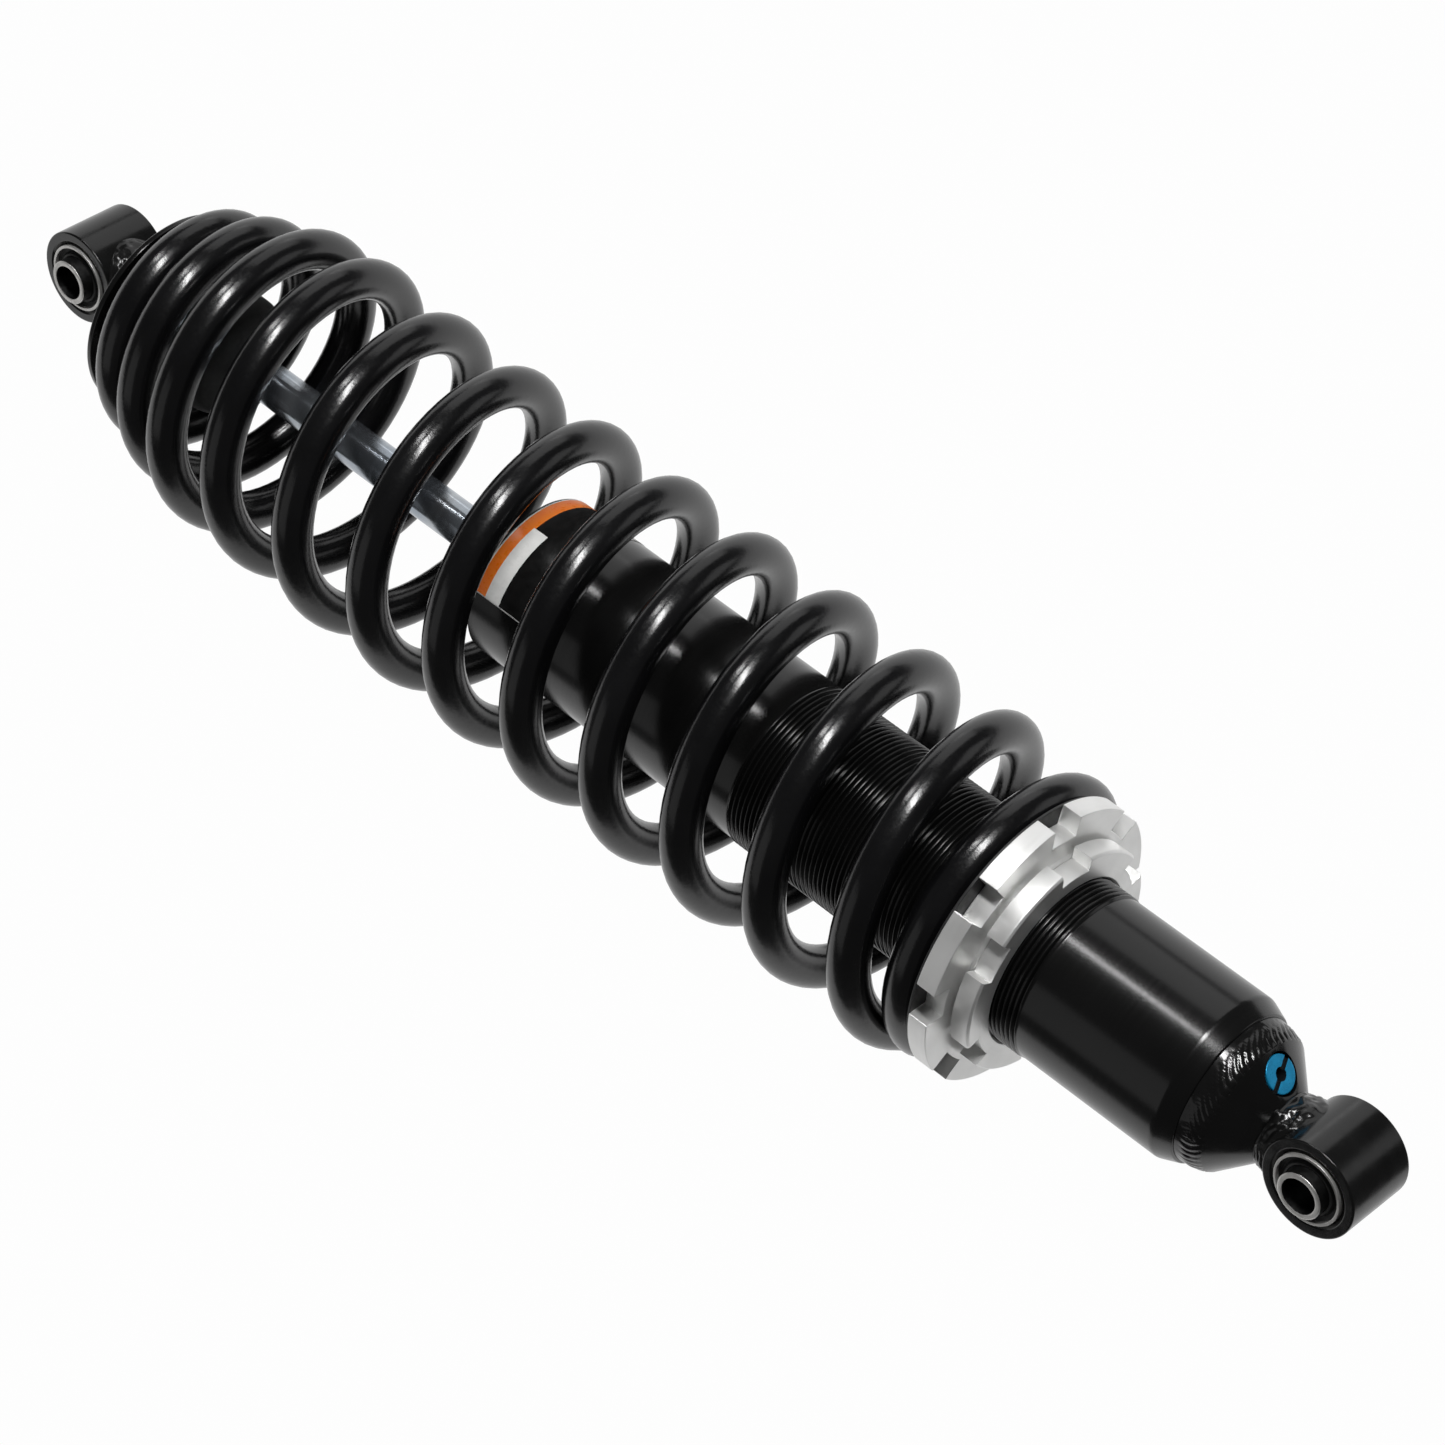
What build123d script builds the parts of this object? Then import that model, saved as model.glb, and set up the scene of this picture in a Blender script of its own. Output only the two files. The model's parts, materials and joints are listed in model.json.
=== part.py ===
from build123d import *

import os
from math import cos, radians, sin

# Coil-over rear shock absorber with a threaded preload adjuster, in millimetres.
# Frame: the origin is the centre of the upper (body) eye bore, +Z runs up along the
# shock axis and +X along the bolt axis of that eye, so the shock hangs from the origin.

# ---- driving dimensions ----
EYE_TO_EYE = 470.0
EYE_RADIUS = 14.5
EYE_BORE_RADIUS = 10.45
EYE_CHAMFER = 1.3
BODY_EYE_WIDTH = 23.2
ROD_EYE_WIDTH = 22.8

BUSH_SHELL_WALL = 0.9
BUSH_SHELL_PROUD = 0.5
SLEEVE_RADIUS = 6.85
BOLT_HOLE_RADIUS = 5.2
SLEEVE_LENGTH = 30.6
SLEEVE_CHAMFER = 0.6
RUBBER_RECESS = 1.2
RUNNING_GAP = 0.08

TUBE_RADIUS = 25.1
BORE_RADIUS = 22.0
TUBE_BOTTOM = -290.0
TUBE_TOP = -34.5
TUBE_BEVEL_HEIGHT = 5.5
TUBE_TOP_RADIUS = 22.9

THREAD_CREST_RADIUS = 25.5
THREAD_ROOT_RADIUS = 24.5
THREAD_PITCH = 1.5875
THREAD_BOTTOM = -190.0
THREAD_TOP = -84.0

ROD_RADIUS = 6.25
STROKE = 117.0
STROKE_END_GAP = 1.0

WIRE_RADIUS = 6.0
COIL_RADIUS = 42.0
END_COIL_RADIUS = 31.2
RING_COIL_RADIUS = 38.0
END_COIL_OFFSET = (-0.51, -0.86)
RING_COIL_OFFSET = (-2.0, 1.0)
SPRING_TURNS = 12.5
SPRING_BOTTOM = -434.4
SPRING_TOP = -114.5
SPRING_START_ANGLE = -496.6
SEAT_PITCH = 12.3
CLOSE_PITCH = 17.9
ACTIVE_PITCH = 30.5

RING_BACK = -107.6
RING_FRONT = -101.4
RING_RADIUS = 42.5
RING_NOTCHES = 8
RING_NOTCH_WIDTH = 10.4
RING_NOTCH_FLOOR = 36.2
RING_NOTCH_ANGLE = -4.5
PILOT_RADIUS = 29.4
PILOT_DEPTH = 5.0
HUB_RADIUS = 30.2
RING_BORE_RADIUS = THREAD_CREST_RADIUS + RUNNING_GAP

LOCK_BACK = -100.0
LOCK_FRONT = -94.0
LOCK_RADIUS = 34.3
LOCK_NOTCHES = 6
LOCK_NOTCH_WIDTH = 11.2
LOCK_NOTCH_ANGLE = -31.0

SLIP_WASHER_THICKNESS = 0.8
FACE_GAP = 0.1

CONE_BASE = -27.0
CONE_APEX = -7.0
CONE_SLOPE = 1.015
CAP_PLUG_BOTTOM = -48.0
NECK_RADIUS = 9.5
WELD_NECK_RADIUS = 10.9
WELD_FLARE_RADIUS = 12.4

VALVE_ANGLE = -95.3
VALVE_HEIGHT = -22.1
VALVE_RADIUS = 6.0
VALVE_POCKET_RADIUS = 6.5
VALVE_SLOT_WIDTH = 1.5
VALVE_SLOT_ANGLE = 36.0

LABEL_BOTTOM = -289.0
LABEL_TOP = -267.0
LABEL_THICKNESS = 0.15
LABEL_START_ANGLE = -169.0
LABEL_SPAN = 150.0

HEAD_BOTTOM = -284.9
HEAD_TOP = -262.0
HEAD_RADIUS = 21.97

RETAINER_SEAT = SPRING_BOTTOM - WIRE_RADIUS - FACE_GAP
RETAINER_RADIUS = 31.8
RETAINER_RIM_THICKNESS = 2.0
RETAINER_THICKNESS = 4.0
RETAINER_HUB_RADIUS = 20.0
RETAINER_PILOT_RADIUS = 24.2
RETAINER_PILOT_TOP = -434.5
RETAINER_SLOT = 13.6

BUMP_RADIUS = 19.0
BUMP_NOSE = TUBE_BOTTOM - STROKE - STROKE_END_GAP

BOSS_RADIUS = 10.5
SHOULDER_RADIUS = 17.0
SHOULDER_THICKNESS = 3.0

PISTON_BOTTOM = -246.4
PISTON_TOP = -230.0
PISTON_RADIUS = 21.9
SPIGOT_RADIUS = 4.9
SPIGOT_FIT = 0.05
SHIM_THICKNESS = 0.3

FLOATING_BOTTOM = -92.0
FLOATING_TOP = -74.0

ROD_EYE_HEIGHT = -EYE_TO_EYE


# ---- shape helpers ----
def turned(points):
    """Solid of revolution about the shock axis from (radius, height) points."""
    outline = Polyline(*[(radius, 0, height) for radius, height in points], close=True)
    return revolve(make_face(outline), Axis.Z)


def ring(inner, outer, bottom, top):
    """Plain round ring, or a disc where the inner radius is zero."""
    return turned([(inner, bottom), (outer, bottom), (outer, top), (inner, top)])


def chamfered_ring(inner, outer, bottom, top, chamfer_size):
    """Ring whose outer edges are chamfered."""
    return turned([
        (inner, bottom),
        (outer - chamfer_size, bottom),
        (outer, bottom + chamfer_size),
        (outer, top - chamfer_size),
        (outer - chamfer_size, top),
        (inner, top),
    ])


def o_ring(centre_radius, height, section_radius):
    """Round-section seal about the shock axis."""
    return Pos(0, 0, height) * Torus(centre_radius, section_radius)


def across(shape, height):
    """Turn a part made about Z onto the bolt axis, X, at the given height."""
    return Pos(0, 0, height) * Rot(0, 90, 0) * shape


def eye_blank(width, height):
    """The eye's outer cylinder, used to shape whatever meets it."""
    return across(Cylinder(EYE_RADIUS, width), height)


def radial_slots(count, first_angle, width, inner, outer, bottom, top):
    """Straight-sided cutters spaced evenly about the axis."""
    length = outer - inner
    middle = (inner + outer) / 2
    cutter = Pos(middle, 0, (bottom + top) / 2) * Box(length, width, top - bottom)
    return [Rot(0, 0, first_angle + 360 * i / count) * cutter for i in range(count)]


def export(shape, node):
    """Write one node as a STEP file."""
    shape.label = node
    export_step(shape, f"parts/{node}.step")


# ---- mounting eyes and their bushes ----
def eye(width, height):
    """Round eye tube with a chamfered bore."""
    half = width / 2
    mouth = EYE_BORE_RADIUS + EYE_CHAMFER
    profile = turned([
        (EYE_BORE_RADIUS, -half + EYE_CHAMFER),
        (mouth, -half),
        (EYE_RADIUS - 0.4, -half),
        (EYE_RADIUS, -half + 0.4),
        (EYE_RADIUS, half - 0.4),
        (EYE_RADIUS - 0.4, half),
        (mouth, half),
        (EYE_BORE_RADIUS, half - EYE_CHAMFER),
    ])
    return across(profile, height)


def bush_outer_sleeve(width, height):
    """Thin steel shell of the bonded bush, pressed into the eye."""
    half = width / 2 + BUSH_SHELL_PROUD
    return across(ring(EYE_BORE_RADIUS - BUSH_SHELL_WALL, EYE_BORE_RADIUS, -half, half), height)


def bush_rubber(width, height):
    """Rubber between the two sleeves, dished at both ends."""
    half = width / 2
    inner = SLEEVE_RADIUS + RUNNING_GAP
    outer = EYE_BORE_RADIUS - BUSH_SHELL_WALL
    middle = (inner + outer) / 2
    return across(turned([
        (inner, -half),
        (middle, -half + RUBBER_RECESS),
        (outer, -half + RUBBER_RECESS / 2),
        (outer, half - RUBBER_RECESS / 2),
        (middle, half - RUBBER_RECESS),
        (inner, half),
    ]), height)


def bush_inner_sleeve(height):
    """Steel spacer sleeve that the mounting bolt passes through."""
    half = SLEEVE_LENGTH / 2
    return across(
        chamfered_ring(BOLT_HOLE_RADIUS, SLEEVE_RADIUS, -half, half, SLEEVE_CHAMFER), height
    )


def weld_collar(eye_height, side, far_height, inner, neck, flare, width):
    """Fillet weld round a neck where it meets an eye; side is -1 below the eye, +1 above."""
    near_height = eye_height + side * (EYE_RADIUS - 4.6)
    collar = turned([
        (inner, far_height),
        (neck, far_height),
        (flare, near_height),
        (inner, near_height),
    ])
    slab = Pos(0, 0, eye_height) * Box(width - 0.6, 60, 60)
    return (collar & slab) - eye_blank(width + 10, eye_height)


# ---- damper body ----
def body_tube():
    """Main tube: threaded in the middle, bevelled at the top, grooved for the circlip."""
    turns = int((THREAD_TOP - THREAD_BOTTOM) / THREAD_PITCH)
    thread = []
    for turn in range(turns):
        start = THREAD_BOTTOM + turn * THREAD_PITCH
        thread += [
            (THREAD_ROOT_RADIUS, start),
            (THREAD_ROOT_RADIUS, start + 0.2 * THREAD_PITCH),
            (THREAD_CREST_RADIUS, start + 0.5 * THREAD_PITCH),
            (THREAD_CREST_RADIUS, start + 0.7 * THREAD_PITCH),
        ]
    thread_end = THREAD_BOTTOM + turns * THREAD_PITCH
    return turned([
        (BORE_RADIUS, TUBE_BOTTOM),
        (TUBE_RADIUS - 0.8, TUBE_BOTTOM),
        (TUBE_RADIUS, TUBE_BOTTOM + 0.8),
        (TUBE_RADIUS, THREAD_BOTTOM - 1.0),
        *thread,
        (THREAD_ROOT_RADIUS, thread_end),
        (TUBE_RADIUS, thread_end + 0.6),
        (TUBE_RADIUS, TUBE_TOP - TUBE_BEVEL_HEIGHT),
        (TUBE_TOP_RADIUS, TUBE_TOP),
        (BORE_RADIUS, TUBE_TOP),
        (BORE_RADIUS, HEAD_BOTTOM),
        (BORE_RADIUS + 1.0, HEAD_BOTTOM),
        (BORE_RADIUS + 1.0, HEAD_BOTTOM - 1.6),
        (BORE_RADIUS, HEAD_BOTTOM - 1.6),
    ])


def cone_radius(height):
    """Radius of the end cap's cone at a height."""
    return (CONE_APEX - height) * CONE_SLOPE


def valve_frame():
    """Plane on the cone where the gas valve is set, with its normal out of the metal."""
    angle = radians(VALVE_ANGLE)
    radius = cone_radius(VALVE_HEIGHT)
    centre = Vector(radius * cos(angle), radius * sin(angle), VALVE_HEIGHT)
    outward = Vector(cos(angle), sin(angle), CONE_SLOPE).normalized()
    along = Vector(-sin(angle), cos(angle), 0)
    return Plane(origin=centre, x_dir=along, z_dir=outward)


def body_end_cap():
    """Plug and cone that close the gas end, with the neck that carries the eye."""
    shell = turned([
        (0, CAP_PLUG_BOTTOM),
        (BORE_RADIUS - 0.5, CAP_PLUG_BOTTOM),
        (BORE_RADIUS, CAP_PLUG_BOTTOM + 0.5),
        (BORE_RADIUS, TUBE_TOP),
        (19.6, TUBE_TOP),
        (19.6, CONE_BASE - 0.4),
        (cone_radius(CONE_BASE), CONE_BASE - 0.4),
        (cone_radius(CONE_BASE), CONE_BASE),
        (cone_radius(-16.5), -16.5),
        (0, -16.5),
    ])
    neck = ring(0, NECK_RADIUS, -20.0, -8.0) - eye_blank(60, 0)
    place = valve_frame()
    pocket = place * Pos(0, 0, -3.4) * Cylinder(VALVE_POCKET_RADIUS, 8.8)
    passage = place * Pos(0, 0, -24.0) * Cylinder(1.8, 40.0)
    return shell + neck - pocket - passage


def cap_weld():
    """Bead that joins the tube to the end cap."""
    return turned([
        (19.6, TUBE_TOP),
        (22.2, TUBE_TOP),
        (22.3, TUBE_TOP + 1.2),
        (21.9, TUBE_TOP + 3.2),
        (21.2, TUBE_TOP + 5.2),
        (20.4, CONE_BASE - 0.4),
        (19.6, CONE_BASE - 0.4),
    ])


def gas_valve_screw():
    """Slotted screw over the gas charging port."""
    screw = Pos(0, 0, -3.9) * Cylinder(VALVE_RADIUS, 6.6)
    slot = Rot(0, 0, VALVE_SLOT_ANGLE) * Pos(0, 0, -0.9) * Box(30, VALVE_SLOT_WIDTH, 1.6)
    eyelet = Pos(0, 0, -2.0) * Cylinder(1.6, 5.0)
    return valve_frame() * (screw - slot - eyelet)


def gas_valve_seal():
    """Sealing washer under the gas valve screw."""
    return valve_frame() * Pos(0, 0, -7.5) * (Cylinder(5.8, 0.5) - Cylinder(2.4, 0.5))


def label():
    """Thin caution label wrapped part of the way round the lower end of the tube."""
    height = LABEL_TOP - LABEL_BOTTOM
    outline = Pos(TUBE_RADIUS + LABEL_THICKNESS / 2, 0, LABEL_BOTTOM + height / 2)
    face = outline * Rot(90, 0, 0) * Rectangle(LABEL_THICKNESS, height)
    return Rot(0, 0, LABEL_START_ANGLE) * revolve(face, Axis.Z, LABEL_SPAN)


# ---- seal head, at the rod end of the tube ----
def seal_head():
    """Aluminium rod guide with pockets for the wiper, rod seal and guide bush."""
    return turned([
        (13.0, HEAD_BOTTOM),
        (HEAD_RADIUS, HEAD_BOTTOM),
        (HEAD_RADIUS, -274.4),
        (HEAD_RADIUS - 2.0, -274.4),
        (HEAD_RADIUS - 2.0, -271.6),
        (HEAD_RADIUS, -271.6),
        (HEAD_RADIUS, HEAD_TOP - 1.0),
        (HEAD_RADIUS - 1.0, HEAD_TOP),
        (8.2, HEAD_TOP),
        (8.2, -275.0),
        (11.0, -275.0),
        (11.0, -280.0),
        (13.0, -280.0),
    ])


def rod_wiper():
    """Outer wiper with a lip that leans on the rod."""
    contact = ROD_RADIUS + RUNNING_GAP
    return turned([
        (9.0, HEAD_BOTTOM + 0.1),
        (12.9, HEAD_BOTTOM + 0.1),
        (12.9, -280.1),
        (8.0, -280.1),
        (contact, -288.0),
        (contact + 0.9, -288.3),
    ])


def rod_seal():
    """U-cup seal that holds the oil in."""
    contact = ROD_RADIUS + RUNNING_GAP
    return turned([
        (contact + 0.6, -279.9),
        (10.9, -279.9),
        (10.9, -275.1),
        (9.6, -275.1),
        (8.7, -277.4),
        (7.6, -275.1),
        (contact, -275.3),
    ])


def dust_cap():
    """Pressed cover over the end of the tube."""
    return turned([
        (14.2, TUBE_BOTTOM + 0.3),
        (BORE_RADIUS - 1.0, TUBE_BOTTOM + 0.3),
        (BORE_RADIUS - 0.05, TUBE_BOTTOM + 1.2),
        (BORE_RADIUS - 0.05, TUBE_BOTTOM + 2.8),
        (14.2, TUBE_BOTTOM + 2.8),
    ])


# ---- piston rod assembly ----
def rod():
    """Chromed rod, stepped down at the top for the piston."""
    shoulder = PISTON_BOTTOM - 3.6
    return turned([
        (0, -455.0),
        (ROD_RADIUS, -455.0),
        (ROD_RADIUS, shoulder - 0.6),
        (ROD_RADIUS - 0.6, shoulder),
        (SPIGOT_RADIUS, shoulder),
        (SPIGOT_RADIUS, -214.0),
        (SPIGOT_RADIUS - 0.8, -213.2),
        (0, -213.2),
    ])


def rod_end_boss():
    """Turned boss that joins the rod to its eye and carries the spring retainer."""
    shoulder_top = RETAINER_SEAT - RETAINER_THICKNESS - FACE_GAP
    blank = turned([
        (0, -466.0),
        (BOSS_RADIUS, -466.0),
        (BOSS_RADIUS, shoulder_top - SHOULDER_THICKNESS - 1.5),
        (SHOULDER_RADIUS, shoulder_top - SHOULDER_THICKNESS),
        (SHOULDER_RADIUS, shoulder_top - 0.6),
        (SHOULDER_RADIUS - 0.6, shoulder_top),
        (0, shoulder_top),
    ])
    return blank - eye_blank(60, ROD_EYE_HEIGHT) - ring(0, ROD_RADIUS, -455.0, -440.0)


def spring_retainer():
    """Slotted cup under the spring; the slot lets it pass over the rod when it is fitted."""
    bottom = RETAINER_SEAT - RETAINER_THICKNESS
    cup = turned([
        (ROD_RADIUS + 1.4, bottom),
        (RETAINER_HUB_RADIUS, bottom),
        (RETAINER_HUB_RADIUS + 2.0, RETAINER_SEAT - RETAINER_RIM_THICKNESS),
        (RETAINER_RADIUS - 0.4, RETAINER_SEAT - RETAINER_RIM_THICKNESS),
        (RETAINER_RADIUS, RETAINER_SEAT - RETAINER_RIM_THICKNESS + 0.4),
        (RETAINER_RADIUS, RETAINER_SEAT),
        (RETAINER_PILOT_RADIUS, RETAINER_SEAT),
        (RETAINER_PILOT_RADIUS, RETAINER_PILOT_TOP - 1.0),
        (RETAINER_PILOT_RADIUS - 1.0, RETAINER_PILOT_TOP),
        (BUMP_RADIUS + 2.0, RETAINER_PILOT_TOP),
        (BUMP_RADIUS + 2.0, RETAINER_SEAT),
        (ROD_RADIUS + 1.4, RETAINER_SEAT),
    ])
    slot = Pos(-30, 0, bottom + 15) * Box(60, RETAINER_SLOT, 40)
    return cup - slot


def bump_stop():
    """Micro-cellular rubber bumper on the rod, waisted like a spring of its own."""
    bore = ROD_RADIUS + RUNNING_GAP
    base = RETAINER_SEAT
    return turned([
        (bore, base),
        (BUMP_RADIUS, base),
        (BUMP_RADIUS, base + 11.0),
        (BUMP_RADIUS - 2.0, base + 13.0),
        (BUMP_RADIUS, base + 15.0),
        (BUMP_RADIUS, BUMP_NOSE - 6.0),
        (BUMP_RADIUS - 2.0, BUMP_NOSE - 1.8),
        (BUMP_RADIUS - 6.0, BUMP_NOSE),
        (bore + 1.0, BUMP_NOSE),
        (bore, BUMP_NOSE - 1.0),
    ])


def shim_stack(bottom, widest, step, count, grow):
    """Thin spring-steel discs of stepped size, each one a separate solid."""
    discs = []
    for i in range(count):
        rank = count - 1 - i if grow else i
        low = bottom + i * SHIM_THICKNESS
        discs.append(ring(SPIGOT_RADIUS + SPIGOT_FIT, widest - step * rank, low, low + SHIM_THICKNESS))
    return Compound(children=discs)


def piston():
    """Damping piston with a groove for its band and two rings of ports."""
    blank = turned([
        (SPIGOT_RADIUS + SPIGOT_FIT, PISTON_BOTTOM),
        (PISTON_RADIUS - 1.0, PISTON_BOTTOM),
        (PISTON_RADIUS, PISTON_BOTTOM + 1.0),
        (PISTON_RADIUS, PISTON_BOTTOM + 3.4),
        (PISTON_RADIUS - 1.3, PISTON_BOTTOM + 3.4),
        (PISTON_RADIUS - 1.3, PISTON_TOP - 3.4),
        (PISTON_RADIUS, PISTON_TOP - 3.4),
        (PISTON_RADIUS, PISTON_TOP - 1.0),
        (PISTON_RADIUS - 1.0, PISTON_TOP),
        (SPIGOT_RADIUS + SPIGOT_FIT, PISTON_TOP),
    ])
    port = Pos(13.0, 0, (PISTON_BOTTOM + PISTON_TOP) / 2) * Cylinder(1.8, 30)
    ports = [Rot(0, 0, 45 * i) * port for i in range(8)]
    return blank - ports


def piston_nut():
    """Hexagon lock nut that clamps the piston stack."""
    bottom = PISTON_TOP + 7 * SHIM_THICKNESS + 2.0
    flats = extrude(RegularPolygon(8.5, 6, major_radius=False), 9.0)
    return Pos(0, 0, bottom) * flats - Cylinder(SPIGOT_RADIUS + SPIGOT_FIT, 800)


# ---- gas separator ----
def floating_piston():
    """Aluminium piston between the oil and the nitrogen, hollowed on the gas side."""
    radius = BORE_RADIUS - 0.06
    groove = radius - 2.85
    return turned([
        (0, FLOATING_BOTTOM),
        (radius - 0.6, FLOATING_BOTTOM),
        (radius, FLOATING_BOTTOM + 0.6),
        (radius, FLOATING_BOTTOM + 3.0),
        (groove, FLOATING_BOTTOM + 3.0),
        (groove, FLOATING_BOTTOM + 6.0),
        (radius, FLOATING_BOTTOM + 6.0),
        (radius, FLOATING_BOTTOM + 8.5),
        (radius - 1.2, FLOATING_BOTTOM + 8.5),
        (radius - 1.2, FLOATING_TOP - 2.5),
        (radius, FLOATING_TOP - 2.5),
        (radius, FLOATING_TOP),
        (16.5, FLOATING_TOP),
        (16.5, FLOATING_BOTTOM + 6.0),
        (0, FLOATING_BOTTOM + 6.0),
    ])


# ---- spring and its adjuster ----
def preload_ring():
    """Castellated ring on the body thread that sets how far the spring is squeezed."""
    blank = turned([
        (RING_BORE_RADIUS, RING_BACK - PILOT_DEPTH),
        (PILOT_RADIUS - 1.0, RING_BACK - PILOT_DEPTH),
        (PILOT_RADIUS, RING_BACK - PILOT_DEPTH + 1.0),
        (PILOT_RADIUS, RING_BACK),
        (RING_RADIUS - 0.3, RING_BACK),
        (RING_RADIUS, RING_BACK + 0.3),
        (RING_RADIUS, RING_FRONT - 0.4),
        (RING_RADIUS - 0.4, RING_FRONT),
        (HUB_RADIUS, RING_FRONT),
        (HUB_RADIUS, LOCK_BACK - FACE_GAP),
        (RING_BORE_RADIUS, LOCK_BACK - FACE_GAP),
    ])
    notches = radial_slots(
        RING_NOTCHES, RING_NOTCH_ANGLE, RING_NOTCH_WIDTH,
        RING_NOTCH_FLOOR, RING_RADIUS + 5, RING_BACK - 1, RING_FRONT + 1,
    )
    return blank - notches


def lock_ring():
    """Narrower castellated ring that is tightened against the preload ring."""
    blank = turned([
        (RING_BORE_RADIUS, LOCK_BACK),
        (LOCK_RADIUS - 0.3, LOCK_BACK),
        (LOCK_RADIUS, LOCK_BACK + 0.3),
        (LOCK_RADIUS, LOCK_FRONT - 0.7),
        (LOCK_RADIUS - 0.7, LOCK_FRONT),
        (RING_BORE_RADIUS + 0.5, LOCK_FRONT),
        (RING_BORE_RADIUS, LOCK_FRONT - 0.5),
    ])
    notches = radial_slots(
        LOCK_NOTCHES, LOCK_NOTCH_ANGLE, LOCK_NOTCH_WIDTH,
        HUB_RADIUS, LOCK_RADIUS + 5, LOCK_BACK - 1, LOCK_FRONT + 1,
    )
    return blank - notches


def smooth(value, start, end):
    """Rise from 0 to 1 between start and end, with level ends."""
    share = min(max((value - start) / (end - start), 0.0), 1.0)
    return share * share * (3 - 2 * share)


def spring_pitch(turn):
    """Pitch at a turn: close-wound at the rod end, even in the middle, flat at the ring."""
    lower = SEAT_PITCH + (CLOSE_PITCH - SEAT_PITCH) * smooth(turn, 0.47, 1.3)
    opened = lower + (ACTIVE_PITCH - lower) * smooth(turn, 2.55, 3.35)
    return opened * (1 - smooth(turn, 11.65, 12.1))


def spring_points(per_turn):
    """Centreline of the wire between its seats: both end coils are wound smaller and a little off centre."""
    count = int(SPRING_TURNS * per_turn)
    step = 1.0 / per_turn
    rises = [0.0]
    for i in range(count):
        rises.append(rises[-1] + spring_pitch((i + 0.5) * step) * step)
    scale = (SPRING_TOP - SPRING_BOTTOM) / rises[-1]
    points = []
    for i, rise in enumerate(rises):
        turn = i * step
        radius = END_COIL_RADIUS + (COIL_RADIUS - END_COIL_RADIUS) * smooth(turn, 0.0, 2.6)
        at_ring = smooth(turn, 11.4, 12.15)
        radius -= (COIL_RADIUS - RING_COIL_RADIUS) * at_ring
        at_rod = smooth(turn, 0.0, 0.6) * (1 - smooth(turn, 2.9, 4.2))
        x = END_COIL_OFFSET[0] * at_rod + RING_COIL_OFFSET[0] * at_ring
        y = END_COIL_OFFSET[1] * at_rod + RING_COIL_OFFSET[1] * at_ring
        angle = radians(SPRING_START_ANGLE + 360 * turn)
        points.append((x + radius * cos(angle), y + radius * sin(angle), SPRING_BOTTOM + scale * rise))
    return points


def spring():
    """Right-hand coil spring swept along one smooth line."""
    path = Spline(*spring_points(16))
    section = Plane(origin=path @ 0, z_dir=path % 0) * Circle(WIRE_RADIUS)
    return sweep(section, path=path, is_frenet=True)


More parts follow.
